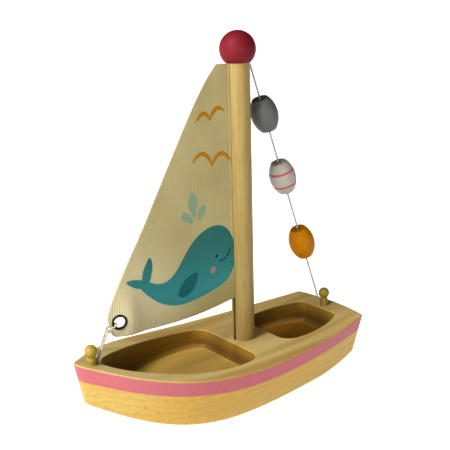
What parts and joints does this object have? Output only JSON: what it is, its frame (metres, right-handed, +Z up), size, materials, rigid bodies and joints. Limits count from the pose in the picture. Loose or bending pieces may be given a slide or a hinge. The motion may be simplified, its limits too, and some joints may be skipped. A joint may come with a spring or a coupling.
{
  "type": "toy sailing boat",
  "caption": "Solid wooden toy sailing boat with open cockpits, a ball-topped slotted mast, a printed cloth sail and sliding beads on the stay.",
  "frame": {"origin": "on the resting plane under the flat bottom, below the middle of the boat's bounding box", "axes": "+X to the bow, +Y to port, +Z up the mast"},
  "size_m": [0.2334, 0.1038, 0.2556],
  "materials": {
    "hull_wood": "satin lacquer over pale wood, with a painted pink band under the deck edge",
    "mast_wood": "satin lacquer over pale wood",
    "peg_wood": "satin lacquer over pale wood",
    "painted_ball": "matte crimson paint",
    "sail_canvas": "plain weave canvas with a printed whale, gulls and drops",
    "antique_brass": "dark antique plating",
    "stay_cord_cotton": "braided cotton",
    "white_cord_cotton": "twisted cotton",
    "bead_grey_paint": "matte grey paint",
    "bead_white_paint": "matte white paint with two pink rings",
    "bead_orange_paint": "matte mustard orange paint"
  },
  "bodies": {
    "boat": {"hull": "hull_wood", "mast": "mast_wood", "mast_ball": "painted_ball", "mast_head_pin": "mast_wood", "bow_peg": "peg_wood", "stern_peg": "peg_wood", "sail_luff": "sail_canvas", "stay_cord": "stay_cord_cotton", "stay_knots": "stay_cord_cotton", "clew_cord": "white_cord_cotton"},
    "sail": {"sail": "sail_canvas", "grommet": "antique_brass", "grommet_washer": "antique_brass"},
    "bead_grey": {"bead_grey": "bead_grey_paint"},
    "bead_striped": {"bead_striped": "bead_white_paint"},
    "bead_orange": {"bead_orange": "bead_orange_paint"}
  },
  "joints": [
    {"name": "sail_swing", "type": "hinge", "parent": "boat", "child": "sail", "pos_m": [-0.0152, 0, 0.15], "axis": [0, 0, 1], "range_deg": [-5, 5], "stiffness_Nm_per_rad": 0.002, "deforming": ["clew_cord"]},
    {"name": "bead_grey_slide", "type": "slide", "parent": "boat", "child": "bead_grey", "axis": [0.3332, 0, 0.9429], "range_m": [0, 0.012]},
    {"name": "bead_striped_slide", "type": "slide", "parent": "boat", "child": "bead_striped", "axis": [0.3332, 0, 0.9429], "range_m": [0, 0.025]},
    {"name": "bead_orange_slide", "type": "slide", "parent": "boat", "child": "bead_orange", "axis": [0.3332, 0, 0.9429], "range_m": [0, 0.0315]}
  ]
}
